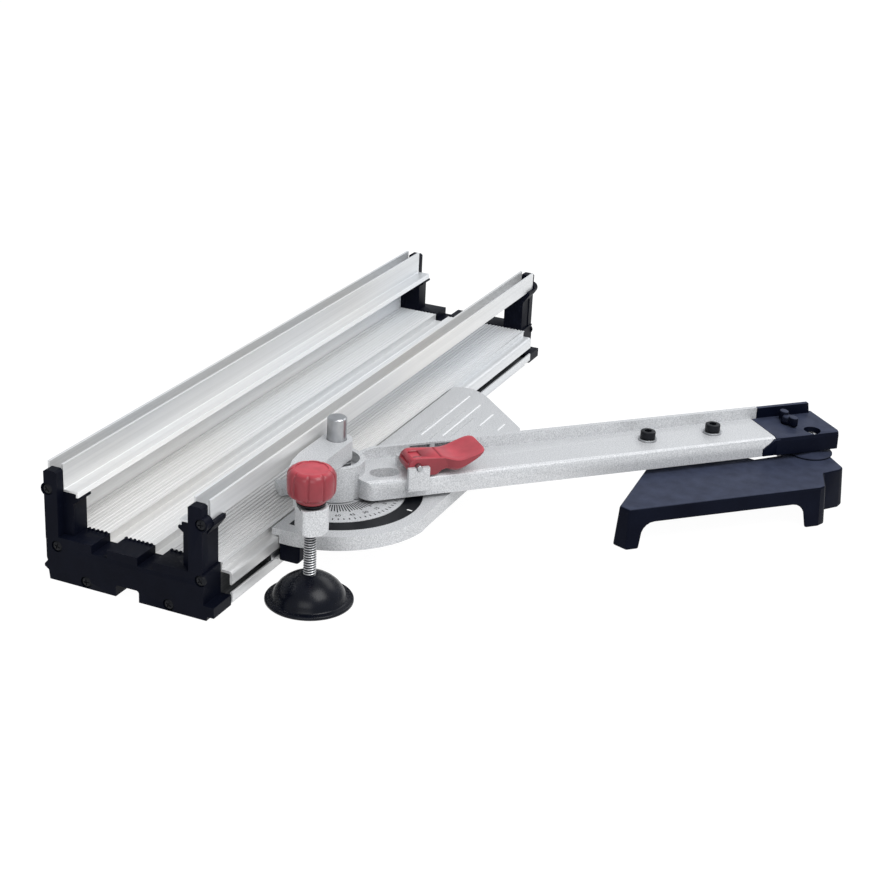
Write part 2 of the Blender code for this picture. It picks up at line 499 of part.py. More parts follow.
# --------------------------------------------- extension bar and black end piece
bar = box_arm("extension_bar", (BAR_START, BAR_END), BAR_N, BAR_Z[0], BAR_Z[1], ALUMINIUM)
slot = slot_outline(ARM_SCREWS[0] - BAR_TRAVEL - 2.0, ARM_SCREWS[1] + 2.0, ARM_SCREW_N, ARM_SCREW_SHANK + 0.6)
cut(bar, at_arm("bar_slot", slot, 30.0, 60.0))
cut(bar, round_arm("bar_wing_room", WING_S, WING_N, 3.3, 30.0, 60.0))
end_section = [(-FENCE_BACK, ARM_BOTTOM), (-FENCE_BACK, WEB_TOP), (-27.5, WEB_TOP), (-30.0, WEB_TOP - 1.0),
               (-31.5, WEB_TOP - 3.6), (-32.0, ARM_BOTTOM)]
end_piece = prism("arm_end_piece", end_section, WEB_END + 0.6, END_TIP, "x", BLACK, **ARM)
cut(end_piece, box_arm("fence_room", (WEB_END - 5.0, FENCE_END + 0.5), (FENCE_BACK - 5.0, FENCE_FACE + GAP),
                       30.0, 80.0))
corner = [(END_TIP - 3.0, 40.0), (END_TIP + 5.0, 40.0), (END_TIP + 5.0, 26.0), (END_TIP, 29.0)]
cut(end_piece, at_arm("end_corner", corner, 30.0, 80.0))
flange = [(WEB_END - 12.0, ARM_BOTTOM), (WEB_END - 12.0, 46.0), (WEB_END - 1.0, 54.1), (WEB_END + 4.0, 54.1),
          (WEB_END + 4.0, ARM_BOTTOM)]
add(end_piece, prism("end_flange", flange, -31.4, -WEB_FRONT + 4.5, "y", **ARM))
fin = [(FENCE_END + 0.6, WEB_TOP - 2.0), (FENCE_END + 0.6, FENCE_TOP - 0.5), (END_TIP - 5.5, FENCE_TOP - 0.5),
       (END_TIP - 3.5, WEB_TOP - 2.0)]
add(end_piece, prism("end_fin", fin, -FENCE_FACE, -FENCE_BACK, "y", **ARM))
cut(end_piece, box_arm("bar_room", (WEB_END - 5.0, BAR_END + GAP), (BAR_N[0] - GAP, BAR_N[1] + GAP),
                       BAR_Z[0] - GAP, BAR_Z[1] + GAP))
cut(end_piece, round_arm("wing_room", WING_S, WING_N, 3.3, 30.0, 70.0))
sunk = [(0.0, 30.0), (3.3, 30.0), (3.3, 50.0), (7.0, 50.0), (7.4, 56.2), (7.4, 60.0), (0.0, 60.0)]
cut(end_piece, turned("sunk_room", sunk, (STEM[0], -STEM[1]), "z", None, 32, **ARM))
sunk_screw = [(0.0, 37.0), (3.0, 37.0), (3.0, 50.3), (4.6, 50.3), (4.4, 52.4), (3.0, 53.2), (0.0, 53.4)]
turned("end_piece_screw", sunk_screw, (STEM[0], -STEM[1]), "z", STEEL, 32, **ARM)

WING_AT = Vector((PX, PY, 0.0)) + turn_arm @ Vector((WING_S, -WING_N, 0.0))
WING = {"origin": tuple(WING_AT), "turn": ARM_ANGLE}
wing_core = [(0.0, 43.0), (3.0, 43.0), (3.0, WEB_TOP + GAP), (6.5, WEB_TOP + GAP), (6.5, 62.0), (5.0, 64.0),
             (0.0, 64.0)]
wing = turned("wing_knob", wing_core, (0.0, 0.0), "z", BLACK, 32, **WING)
wing_side = [(-7.0, 57.0), (-12.5, 59.5), (-13.5, 62.5), (-12.0, 65.0), (-5.0, 63.5), (5.0, 63.5), (12.0, 65.0),
             (13.5, 62.5), (12.5, 59.5), (7.0, 57.0)]
add(wing, prism("wing_lobes", wing_side, -3.0, 3.0, "x", **WING))

# ---------------------------------------------------------------- support foot
stem_profile = [(0.0, 24.0), (6.0, 24.0), (6.0, FOOT_TOP + GAP), (DISC_RADIUS, FOOT_TOP + GAP),
                (DISC_RADIUS, 37.6), (DISC_RADIUS - 0.6, 38.2), (10.0, 38.2), (10.0, ARM_BOTTOM - GAP),
                (3.3, ARM_BOTTOM - GAP), (3.3, 36.0), (0.0, 36.0)]
turned("foot_stem", stem_profile, (STEM[0], -STEM[1]), "z", BLACK, 40, **ARM)
keeper = [(6.3, 26.0), (11.0, 26.0), (11.0, FOOT_TOP - FOOT_SKIN - GAP), (6.3, FOOT_TOP - FOOT_SKIN - GAP)]
turned("foot_keeper", keeper, (STEM[0], -STEM[1]), "z", STEEL, 32, **ARM)

FOOT_AT = Vector((PX, PY, 0.0)) + turn_arm @ Vector((STEM[0], -STEM[1], 0.0))
FOOT = {"origin": tuple(FOOT_AT), "turn": ARM_ANGLE}
foot_corners = [(216.5, 81.0), (221.0, 91.0), (399.0, 92.5), (405.0, 90.0), (418.0, 66.0), (436.0, 63.5),
                (441.0, 60.0), (446.0, 8.0), (440.0, 4.0), (410.0, 4.0), (402.0, 22.0), (374.0, 24.0),
                (366.0, 13.0), (284.0, 11.0), (276.0, 14.0)]


def foot_outline(inset):
    """The foot's outline in its own frame, moved in from the edge by an inset."""
    work = []
    count = len(foot_corners)
    flipped = [(s - STEM[0], -(n - STEM[1])) for s, n in foot_corners]
    for index in range(count):
        before = Vector(flipped[index - 1])
        here = Vector(flipped[index])
        after = Vector(flipped[(index + 1) % count])
        first = (here - before).normalized()
        second = (after - here).normalized()
        left_one = Vector((-first.y, first.x))
        left_two = Vector((-second.y, second.x))
        away = left_one + left_two
        step = away / max(0.35, away.dot(left_one))
        work.append(tuple(here + step * inset))
    return work


def tapered(name, lower, upper, low, high, material=None, **where):
    count = len(lower)
    points = [(x, y, low) for x, y in lower] + [(x, y, high) for x, y in upper]
    faces = [list(range(count)), list(range(2 * count - 1, count - 1, -1))]
    for index in range(count):
        after = (index + 1) % count
        faces.append([index, after, count + after, count + index])
    return shell(name, points, faces, material, **where)


foot = tapered("support_foot", foot_outline(-2.5), foot_outline(0.0), 0.0, FOOT_TOP, BLACK, **FOOT)
cut(foot, tapered("foot_inside", foot_outline(0.5), foot_outline(3.0), -1.0, FOOT_TOP - FOOT_SKIN, None, **FOOT))
SKIRT = FOOT_TOP - SKIRT_DROP


def foot_gap(name, along, across, axis, corner):
    """Cut the skirt between two legs, with rounded upper corners and slightly slanted sides."""
    first, last = along
    arch = [(first - 2.0, -2.0), (last + 2.0, -2.0)]
    arch += disc_outline((last - corner, SKIRT - corner), corner, 0.0, 90.0, 5)
    arch += disc_outline((first + corner, SKIRT - corner), corner, 90.0, 180.0, 5)
    return prism(name, arch, across[0], across[1], axis, **FOOT)


front_gap = (232.5 - STEM[0], 385.5 - STEM[0])
back_gap = (300.0 - STEM[0], 396.0 - STEM[0])
cut(foot, foot_gap("foot_front_gap", front_gap, (STEM[1] - 110.0, STEM[1] - 60.0), "y", 12.0))
cut(foot, foot_gap("foot_back_gap", back_gap, (STEM[1] - 50.0, STEM[1] + 25.0), "y", 10.0))
cut(foot, foot_gap("foot_left_gap", (STEM[1] - 74.0, STEM[1] - 34.0), (215.0 - STEM[0], 282.0 - STEM[0]), "x", 10.0))
cut(foot, foot_gap("foot_right_gap", (STEM[1] - 54.0, STEM[1] - 20.0), (396.0 - STEM[0], 460.0 - STEM[0]), "x", 8.0))
foot_bore = [(0.0, 20.0), (6.0 + BORE_GAP, 20.0), (6.0 + BORE_GAP, 45.0), (0.0, 45.0)]
cut(foot, turned("foot_bore", foot_bore, (0.0, 0.0), "z", None, 32, **FOOT))

# ------------------------------------------------------------- hold-down clamp
post_shape = [(0.0, PLATE_BOTTOM - 3.0), (6.0, PLATE_BOTTOM - 3.0), (6.0, PLATE_BOTTOM - GAP),
              (STUD_RADIUS, PLATE_BOTTOM - GAP), (STUD_RADIUS, SLOT_TOP + 1.0), (POST_RADIUS, SLOT_TOP + 1.0),
              (POST_RADIUS, POST_TOP - 1.0), (POST_RADIUS - 1.0, POST_TOP), (0.0, POST_TOP)]
turned("clamp_post", post_shape, (0.0, 0.0), "z", STEEL, ROUND, origin=(PX, PY, 0.0))
hex_nut("pivot_nut", (0.0, 0.0), 13.5, POST_RADIUS + BORE_GAP, HUB_RECESS_FLOOR + GAP, 66.0,
        origin=(PX, PY, 0.0))

CX = CLAMP_XY[0] - PX
CY = CLAMP_XY[1] - PY
POST = {"origin": (PX, PY, 0.0)}
sweep = disc_outline((0.0, 0.0), 12.8, -10.0, 190.0, 30)
upper_shape = sweep + [(-12.6, -17.5), (-12.4, -39.5), (-10.0, -56.0), (-4.5, -72.0), (4.0, -84.0), (14.0, -93.0),
                       (24.0, -96.5), (32.0, -93.5), (27.0, -76.0), (19.0, -56.0), (13.0, -41.0)]
bracket = prism("clamp_bracket", upper_shape, BRACKET_Z[0], BRACKET_Z[1], "z", CASTING, **POST)
lower_shape = [(-3.0, -60.0), (6.0, -84.0), (14.0, -98.0), (CX - 11.0, CY + 3.0), (CX - 7.5, CY - 2.1),
               (CX + 8.5, CY - 1.3), (CX + 11.5, CY + 4.3), (31.0, -84.0), (17.0, -56.0)]
add(bracket, prism("bracket_root", lower_shape, BRACKET_Z[0] + 0.4, BOSS_Z[1] - 0.5, "z", **POST))
boss_shape = [(0.0, BOSS_Z[0]), (BOSS_RADIUS - 1.5, BOSS_Z[0]), (BOSS_RADIUS, BOSS_Z[0] + 2.0),
              (BOSS_RADIUS, BOSS_Z[1] - 1.0), (BOSS_RADIUS - 1.0, BOSS_Z[1]), (0.0, BOSS_Z[1])]
add(bracket, turned("bracket_boss", boss_shape, (CX, CY), "z", None, ROUND, **POST))
cut(bracket, turned("bracket_post_room", post_room, (0.0, 0.0), "z", None, ROUND, **POST))
spindle_room = [(0.0, 30.0), (SPINDLE_RADIUS + BORE_GAP, 30.0), (SPINDLE_RADIUS + BORE_GAP, 110.0), (0.0, 110.0)]
cut(bracket, turned("bracket_spindle_room", spindle_room, (CX, CY), "z", None, 32, **POST))

CLAMP = {"origin": (CLAMP_XY[0], CLAMP_XY[1], 0.0)}
rod = [(0.0, 14.0), (SPINDLE_RADIUS, 14.0), (SPINDLE_RADIUS, 103.0), (0.0, 103.0)]
turned("clamp_spindle", rod, (0.0, 0.0), "z", STEEL, 32, **CLAMP)
collar = [(SPINDLE_RADIUS + BORE_GAP, BOSS_Z[1] + GAP), (10.5, BOSS_Z[1] + GAP), (11.5, BOSS_Z[1] + 3.0),
          (SPINDLE_RADIUS + BORE_GAP, BOSS_Z[1] + 3.0)]
turned("clamp_collar", collar, (0.0, 0.0), "z", DARK, 40, **CLAMP)
knob_shape = [(0.0, 103.3), (SPINDLE_RADIUS + BORE_GAP, 103.3), (SPINDLE_RADIUS + BORE_GAP, 83.3), (13.5, 83.3),
              (KNOB_RADIUS - 1.2, 86.5), (KNOB_RADIUS, 89.0), (KNOB_RADIUS, 104.0), (KNOB_RADIUS - 1.5, 107.5),
              (KNOB_RADIUS - 4.5, KNOB_TOP), (0.0, KNOB_TOP)]
turned("clamp_knob", knob_shape, (0.0, 0.0), "z", RED, ROUND, **CLAMP)
dome = [(0.0, 1.0), (PAD_RADIUS - 4.0, 1.0), (PAD_RADIUS, 0.3), (PAD_RADIUS, 3.2), (31.0, 4.2), (28.0, 8.0),
        (24.0, 13.0), (19.0, 17.5), (13.0, 21.0), (8.0, PAD_TOP), (SPINDLE_RADIUS + BORE_GAP, PAD_TOP),
        (SPINDLE_RADIUS + BORE_GAP, 13.7), (0.0, 13.7)]
turned("clamp_pad", dome, (0.0, 0.0), "z", GLOSS, 44, **CLAMP)

# ------------------------------------ put the origin at the middle of the footprint
bpy.context.view_layer.update()
graph = bpy.context.evaluated_depsgraph_get()
corners = []
for item in bpy.data.objects:
    if item.hide_render:
        continue
    solid = item.evaluated_get(graph)
    mesh = solid.to_mesh()
    corners += [solid.matrix_world @ point.co for point in mesh.vertices]
    solid.to_mesh_clear()
low = Vector([min(corner[k] for corner in corners) for k in range(3)])
high = Vector([max(corner[k] for corner in corners) for k in range(3)])
middle = (low + high) / 2.0
for item in bpy.data.objects:
    item.location -= Vector((middle.x, middle.y, low.z))
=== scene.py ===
"""Rail tile cutter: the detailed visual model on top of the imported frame."""
import math

import bmesh
import bpy
from mathutils import Matrix, Vector
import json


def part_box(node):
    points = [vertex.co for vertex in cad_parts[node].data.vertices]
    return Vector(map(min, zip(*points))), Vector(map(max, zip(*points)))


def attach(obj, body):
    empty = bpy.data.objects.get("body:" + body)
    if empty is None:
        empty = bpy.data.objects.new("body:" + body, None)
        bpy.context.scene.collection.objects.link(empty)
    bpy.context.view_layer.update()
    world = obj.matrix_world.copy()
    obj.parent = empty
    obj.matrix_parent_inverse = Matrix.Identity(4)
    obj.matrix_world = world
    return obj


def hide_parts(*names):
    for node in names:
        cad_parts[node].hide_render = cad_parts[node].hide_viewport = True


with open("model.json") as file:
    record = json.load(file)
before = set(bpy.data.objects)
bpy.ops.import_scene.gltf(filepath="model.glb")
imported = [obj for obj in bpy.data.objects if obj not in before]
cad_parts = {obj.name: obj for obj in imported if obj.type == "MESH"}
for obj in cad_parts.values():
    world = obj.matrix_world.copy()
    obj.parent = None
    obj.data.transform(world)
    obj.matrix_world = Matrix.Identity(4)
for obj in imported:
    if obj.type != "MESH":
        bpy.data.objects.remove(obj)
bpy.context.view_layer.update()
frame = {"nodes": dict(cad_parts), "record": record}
NODES = frame["nodes"]

MM = 0.001
# The drawing frame: X from the left rail's outer face, Y from the rails' near end, Z from the bench.
PIVOT = (157.0, 169.5)
CLAMP = (194.0, 57.0)
STEM = (430.0, 22.5)
ARM_ANGLE = math.radians(45.0)
LEVER_PIN = (59.0, 66.0)
TABLE_TOP = 37.0
WEB_TOP = 56.0
RAIL_LENGTH = 631.0
CAP_REACH = 16.3
THREAD_CREST = 4.95
THREAD_ROOT = 3.9
THREAD_PITCH = 2.1
KNOB_FLUTES = 9
RIB_PITCH = 3.6
low, high = (Vector(corner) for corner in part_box("clamp_post"))
SHIFT = Vector(((low.x + high.x) / 2 - PIVOT[0] * MM, (low.y + high.y) / 2 - PIVOT[1] * MM, 0.0))
WORLD = Matrix.Translation(SHIFT) @ Matrix.Scale(MM, 4)
AT_ARM = WORLD @ Matrix.Translation((PIVOT[0], PIVOT[1], 0.0)) @ Matrix.Rotation(ARM_ANGLE, 4, "Z")
AT_CLAMP = WORLD @ Matrix.Translation((CLAMP[0], CLAMP[1], 0.0))
AT_POST = WORLD @ Matrix.Translation((PIVOT[0], PIVOT[1], 0.0))
AT_STEM = AT_ARM @ Matrix.Translation((STEM[0], -STEM[1], 0.0))


# ------------------------------------------------------------------ materials
class Nodes:
    """A material's node tree with short calls for the nodes used here."""

    def __init__(self, name):
        self.material = bpy.data.materials.new(name)
        self.material.use_nodes = True
        self.tree = self.material.node_tree
        self.shader = self.tree.nodes["Principled BSDF"]

    def add(self, kind, values=(), **settings):
        made = self.tree.nodes.new(kind)
        for key, value in settings.items():
            setattr(made, key, value)
        for key, value in dict(values).items():
            made.inputs[key].default_value = value
        return made

    def link(self, source, target):
        self.tree.links.new(source, target)

    def place(self, scale=(1.0, 1.0, 1.0), turn=(0.0, 0.0, 0.0)):
        """Object coordinates, stretched and turned."""
        where = self.add("ShaderNodeTexCoord")
        move = self.add("ShaderNodeMapping", {"Scale": scale, "Rotation": turn})
        self.link(where.outputs["Object"], move.inputs["Vector"])
        return move.outputs["Vector"]

    def noise(self, vector, scale, detail=4.0, rough=0.55):
        made = self.add("ShaderNodeTexNoise", {"Scale": scale, "Detail": detail, "Roughness": rough})
        self.link(vector, made.inputs["Vector"])
        return made.outputs["Fac"]

    def ramp(self, value, stops):
        made = self.add("ShaderNodeValToRGB")
        elements = made.color_ramp.elements
        while len(elements) < len(stops):
            elements.new(0.5)
        for element, (where, color) in zip(elements, stops):
            element.position = where
            element.color = (*color, 1.0)
        self.link(value, made.inputs["Fac"])
        return made.outputs["Color"]

    def span(self, value, out_low, out_high, in_low=0.0, in_high=1.0):
        """The value carried from one range to another."""
        made = self.add("ShaderNodeMapRange", {"From Min": in_low, "From Max": in_high,
                                               "To Min": out_low, "To Max": out_high})
        self.link(value, made.inputs["Value"])
        return made.outputs["Result"]

    def bump(self, height, strength, distance):
        made = self.add("ShaderNodeBump", {"Strength": strength, "Distance": distance})
        self.link(height, made.inputs["Height"])
        self.link(made.outputs["Normal"], self.shader.inputs["Normal"])


def grey(level, blue=0.0):
    """A grey that is never fully black, with a blue tint if asked."""
    level = max(0.015, level)
    return (level, level + blue * 0.4, level + blue)


def extruded(name, turn=0.0, base=0.72, metallic=0.5, rough=0.34):
    """Mill-finish aluminium with die lines along its length."""
    n = Nodes(name)
    lines = n.place((900.0, 3.0, 900.0), (0.0, 0.0, turn))
    wide = n.place((160.0, 1.2, 160.0), (0.0, 0.0, turn))
    fine = n.noise(lines, 1.0, 3.0)
    broad = n.noise(wide, 1.0, 2.0)
    blend = n.add("ShaderNodeMath", operation="ADD")
    n.link(n.span(fine, 0.0, 0.5), blend.inputs[0])
    n.link(n.span(broad, 0.0, 0.5), blend.inputs[1])
    stain = n.noise(n.place((6.0, 2.2, 6.0), (0.0, 0.0, turn)), 1.0, 2.0)
    tone = n.ramp(stain, [(0.35, (1.0, 0.985, 0.96)), (0.65, (0.95, 0.975, 1.0))])
    metal = n.ramp(blend.outputs[0], [(0.3, grey(base - 0.1, 0.01)), (0.7, grey(base + 0.06, 0.005))])
    mixed = n.add("ShaderNodeMix", {"Factor": 1.0}, data_type="RGBA", blend_type="MULTIPLY")
    n.link(metal, mixed.inputs["A"])
    n.link(tone, mixed.inputs["B"])
    n.link(mixed.outputs["Result"], n.shader.inputs["Base Color"])
    n.link(n.span(fine, rough, rough + 0.16), n.shader.inputs["Roughness"])
    n.shader.inputs["Metallic"].default_value = metallic
    n.bump(fine, 0.12, 0.0002)
    return n.material


def cast(name, base=0.52):
    """Silver powder coat over a casting: coarse and fine speckle and a soft grain."""
    n = Nodes(name)
    place = n.place()
    speck = n.noise(place, 1000.0, 3.0, 0.65)
    fine = n.noise(place, 1700.0, 2.0, 0.6)
    cloud = n.noise(place, 45.0, 3.0)
    both = n.add("ShaderNodeMath", operation="MULTIPLY_ADD")
    n.link(fine, both.inputs[0])
    both.inputs[1].default_value = 0.4
    n.link(n.span(speck, -0.06, 0.66), both.inputs[2])
    n.link(n.ramp(both.outputs[0], [(0.32, grey(base - 0.2, 0.02)), (0.47, grey(base - 0.01, 0.018)),
                                    (0.64, grey(base + 0.17, 0.01))]), n.shader.inputs["Base Color"])
    n.link(n.span(cloud, 0.40, 0.54), n.shader.inputs["Roughness"])
    n.shader.inputs["Metallic"].default_value = 0.35
    n.bump(both.outputs[0], 0.35, 0.0004)
    return n.material


def plastic(name, color, light, roughness, grain=900.0, bump=0.1, shine=0.5, metallic=0.0, painted_top_light=None):
    """Moulded plastic: slight colour cloud, fine spark-eroded grain, and if asked a lighter colour on the
    tops as painted light.
    """
    n = Nodes(name)
    place = n.place()
    cloud = n.noise(place, 35.0, 4.0)
    fine = n.noise(place, grain, 2.0)
    shade = n.ramp(cloud, [(0.3, color), (0.7, light)])
    # Faces that point up take a lighter colour: painted light where the tops catch the lamps.
    if painted_top_light:
        where = n.add("ShaderNodeTexCoord")
        parts = n.add("ShaderNodeSeparateXYZ")
        n.link(where.outputs["Normal"], parts.inputs[0])
        upward = n.span(parts.outputs["Z"], 0.0, 1.0, 0.7, 1.0)
        mixed = n.add("ShaderNodeMix", data_type="RGBA")
        n.link(upward, mixed.inputs["Factor"])
        n.link(shade, mixed.inputs["A"])
        n.link(n.ramp(n.noise(place, 90.0, 5.0), [(0.3, painted_top_light), (0.75, tuple(1.5 * c for c in painted_top_light))]),
               mixed.inputs["B"])
        shade = mixed.outputs["Result"]
    n.link(shade, n.shader.inputs["Base Color"])
    n.link(n.span(fine, roughness - 0.05, roughness + 0.06), n.shader.inputs["Roughness"])
    n.shader.inputs["Metallic"].default_value = metallic
    n.shader.inputs["Specular IOR Level"].default_value = shine
    n.bump(fine, bump, 0.0002)
    return n.material


def turned_steel(name, base=0.5, rings=2600.0, roughness=0.24):
    """Turned and plated steel with fine machining rings."""
    n = Nodes(name)
    rings_at = n.place((4.0, 4.0, rings))
    cloud = n.noise(n.place(), 70.0, 3.0)
    ring = n.noise(rings_at, 1.0, 2.0)
    n.link(n.ramp(cloud, [(0.3, grey(base - 0.06, 0.02)), (0.7, grey(base + 0.08, 0.02))]),
           n.shader.inputs["Base Color"])
    n.link(n.span(ring, roughness - 0.07, roughness + 0.1), n.shader.inputs["Roughness"])
    n.shader.inputs["Metallic"].default_value = 1.0
    n.bump(ring, 0.12, 0.0001)
    return n.material


ALUMINIUM = extruded("extruded_aluminium_lines")
# A less metallic, more diffuse copy of the aluminium: painted light that lifts the shade on the table between
# the rails.
LIT_TABLE_ALU = extruded("table_aluminium_painted_light", base=0.67, metallic=0.12, rough=0.5)
# A near-white, nearly unmetallic copy of the aluminium: painted light on the left rail's inner wall under its
# ledge.
LIT_WALL_ALU = extruded("wall_aluminium_painted_light", base=0.90, metallic=0.05, rough=0.5)
BAR_ALU = extruded("bar_aluminium_lines", math.radians(45.0))
CASTING = cast("cast_silver_speckle")
BLACK = plastic("black_moulded", (0.0018, 0.0024, 0.006), (0.0035, 0.0045, 0.010), 0.42, shine=0.05)
# Black with a lighter colour on its tops: a painted sheen.
BLACK_PAINTED_TOP = plastic("black_painted_top_sheen", (0.0014, 0.0022, 0.007), (0.0028, 0.0042, 0.011), 0.42, shine=0.05,
                    painted_top_light=(0.026, 0.031, 0.052))
BLACK_SHADE = plastic("black_sheen", (0.002, 0.0024, 0.004), (0.004, 0.0048, 0.007), 0.34, 600.0, 0.05, 0.12)
# Red with a lighter colour on its tops: painted light.
RED = plastic("red_moulded", (0.20, 0.026, 0.034), (0.27, 0.033, 0.045), 0.32, 700.0, 0.08, 0.35,
              painted_top_light=(0.34, 0.038, 0.052))
# A dark copy of the casting colour: painted shade for the panels in the fence windows.
SHADE = cast("cast_silver_painted_shade", 0.16)
# A light copy of the casting colour: painted highlight along the plate's raised ridges.
RIDGE = cast("cast_silver_ridge_highlight", 0.72)
# A dark copy of the aluminium: painted shade inside the side slot.
SLOT_PAINTED_SHADE = extruded("slot_painted_shade", base=0.1)
GLOSS = plastic("gloss_black_dome", (0.001, 0.0014, 0.004), (0.002, 0.003, 0.007), 0.27, 300.0, 0.02, 0.17)
STEEL = turned_steel("turned_steel_rings", 0.4, roughness=0.3)


def thread_steel(name, axis, root, crest):
    """Plated thread: painted shade in the roots and painted highlight on the crests, told apart by distance
    from the axis.
    """
    n = Nodes(name)
    where = n.add("ShaderNodeTexCoord")
    off = n.add("ShaderNodeVectorMath", {1: (axis.x, axis.y, 0.0)}, operation="SUBTRACT")
    n.link(where.outputs["Object"], off.inputs[0])
    flat = n.add("ShaderNodeVectorMath", {1: (1.0, 1.0, 0.0)}, operation="MULTIPLY")
    n.link(off.outputs[0], flat.inputs[0])
    away = n.add("ShaderNodeVectorMath", operation="LENGTH")
    n.link(flat.outputs[0], away.inputs[0])
    height = n.span(away.outputs["Value"], 0.0, 1.0, root * MM, crest * MM)
    # Dark roots and bright crests: painted shade and painted highlight on the thread.
    n.link(n.ramp(height, [(0.25, grey(0.015, 0.004)), (0.6, grey(0.2, 0.01)), (0.9, grey(0.55, 0.01))]),
           n.shader.inputs["Base Color"])
    n.link(n.span(n.noise(n.place(), 500.0), 0.3, 0.45), n.shader.inputs["Roughness"])
    n.shader.inputs["Metallic"].default_value = 0.7
    return n.material


THREAD = thread_steel("thread_steel", AT_CLAMP.translation, THREAD_ROOT, THREAD_CREST)
DARK = plastic("blackened_screw", (0.0035, 0.004, 0.006), (0.008, 0.009, 0.012), 0.34, 1200.0,
               shine=0.16, metallic=0.15)
PRINT = plastic("printed_black", (0.010, 0.010, 0.012), (0.03, 0.03, 0.033), 0.55, shine=0.2)
WHITE = plastic("printed_white", (0.72, 0.72, 0.70), (0.85, 0.85, 0.83), 0.5)


# ------------------------------------------------------------ mesh helpers
def round_over(made, angle):
    """Shade smooth, but keep edges sharper than the angle."""
    made.data.shade_smooth()
    made.data.set_sharp_from_angle(angle=math.radians(angle))


def build(name, points, faces, matrix, material, smooth=35.0):
    """A mesh object from points in a local frame, smoothed below an angle in degrees."""
    mesh = bpy.data.meshes.new(name)
    mesh.from_pydata([matrix @ Vector(point) for point in points], [], faces)
    work = bmesh.new()
    work.from_mesh(mesh)
    bmesh.ops.recalc_face_normals(work, faces=work.faces)
    work.to_mesh(mesh)
    work.free()
    made = bpy.data.objects.new(name, mesh)
    bpy.context.scene.collection.objects.link(made)
    if material is not None:
        mesh.materials.append(material)
    if smooth:
        round_over(made, smooth)
    return made


def prism(name, outline, low, high, axis, matrix=WORLD, material=None, **more):
    """An outline drawn square to an axis and pulled from low to high along it."""
    count = len(outline)
    points = []
    for level in (low, high):
        for u, v in outline:
            points.append({"x": (level, u, v), "y": (u, level, v), "z": (u, v, level)}[axis])
    faces = [list(range(count)), list(range(2 * count - 1, count - 1, -1))]
    for index in range(count):
        after = (index + 1) % count
        faces.append([index, after, count + after, count + index])
    return build(name, points, faces, matrix, material, **more)


def turned(name, profile, matrix, material=None, segments=72, axis="z", radius=None, **more):
    """Turn a closed (radius, height) profile; radius(r, h, angle) may reshape it."""
    points = []
    rings = []
    for r, h in profile:
        ring = []
        for step in range(1 if r < 1e-6 else segments):
            angle = 2.0 * math.pi * step / segments
            here = radius(r, h, angle) if radius and r > 1e-6 else r
            u = here * math.cos(angle)
            v = here * math.sin(angle)
            points.append((u, v, h) if axis == "z" else (u, h, v))
            ring.append(len(points) - 1)
        rings.append(ring)
    faces = []
    for lower, upper in zip(rings, rings[1:] + rings[:1]):
        for step in range(segments):
            after = (step + 1) % segments
            corners = [lower[step % len(lower)], lower[after % len(lower)],
                       upper[after % len(upper)], upper[step % len(upper)]]
            unique = list(dict.fromkeys(corners))
            if len(unique) > 2:
                faces.append(unique)
    return build(name, points, faces, matrix, material, **more)


def rectangle(left, right, bottom, top):
    return [(left, bottom), (left, top), (right, top), (right, bottom)]


def cross_slot(half, reach):
    """The outline of a cross-head screw's recess."""
    return [(-half, -reach), (half, -reach), (half, -half), (reach, -half), (reach, half), (half, half),
            (half, reach), (-half, reach), (-half, half), (-reach, half), (-reach, -half), (-half, -half)]


def circle(centre, radius, first=0.0, last=360.0, steps=64):
    """Points round a circle or an arc, angles in degrees."""
    count = steps if abs(last - first) >= 360.0 else steps + 1
    return [(centre[0] + radius * math.cos(math.radians(first + (last - first) * k / steps)),
             centre[1] + radius * math.sin(math.radians(first + (last - first) * k / steps)))
            for k in range(count)]


def settle(made):
    """Keep the evaluated mesh and drop the modifiers."""
    graph = bpy.context.evaluated_depsgraph_get()
    graph.update()
    mesh = bpy.data.meshes.new_from_object(made.evaluated_get(graph))
    made.modifiers.clear()
    made.data = mesh
    return made


def combine(target, others, operation="DIFFERENCE"):
    """Cut the others from the target, or join them to it, and drop them."""
    for other in others:
        step = target.modifiers.new("shape", "BOOLEAN")
        step.operation = operation
        step.solver = "EXACT"
        step.object = other
    settle(target)
    for other in others:
        bpy.data.objects.remove(other)
    return target


def soften(made, width, segments=2, angle=32.0, clamp=True):
    """Round the edges and keep the broad faces flat."""
    work = bmesh.new()
    work.from_mesh(made.data)
    bmesh.ops.remove_doubles(work, verts=work.verts, dist=1e-6)
    bmesh.ops.dissolve_limit(work, angle_limit=math.radians(1.5), verts=work.verts, edges=work.edges)
    work.to_mesh(made.data)
    work.free()
    step = made.modifiers.new("edge", "BEVEL")
    step.width = width * MM
    step.segments = segments
    step.use_clamp_overlap = clamp
    step.limit_method = "ANGLE"
    step.angle_limit = math.radians(angle)
    step.harden_normals = True
    round_over(made, 40.0)
    return settle(made)


def owner(node):
    """The body that a CAD node belongs to."""
    for body, nodes in frame["record"]["behaviour"]["bodies"].items():
        if node in nodes:
            return body
    raise KeyError(node)


def stand_for(made, node):
    """The piece takes a CAD node's place on that node's body."""
    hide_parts(node)
    ride_with(made, node)
    return made


def ride_with(made, node):
    """The piece moves with a CAD node's body."""
    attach(made, owner(node))
    return made


def refined(node, material, width, segments=2, cutters=(), clamp=True):
    """A CAD node's shape, less the cutters, with rounded edges."""
    made = bpy.data.objects.new("vis_" + node, NODES[node].data.copy())
    made.matrix_world = NODES[node].matrix_world.copy()
    bpy.context.scene.collection.objects.link(made)
    made.data.materials.clear()
    made.data.materials.append(material)
    combine(made, cutters)
    soften(made, width, segments, clamp=clamp)
    return stand_for(made, node)


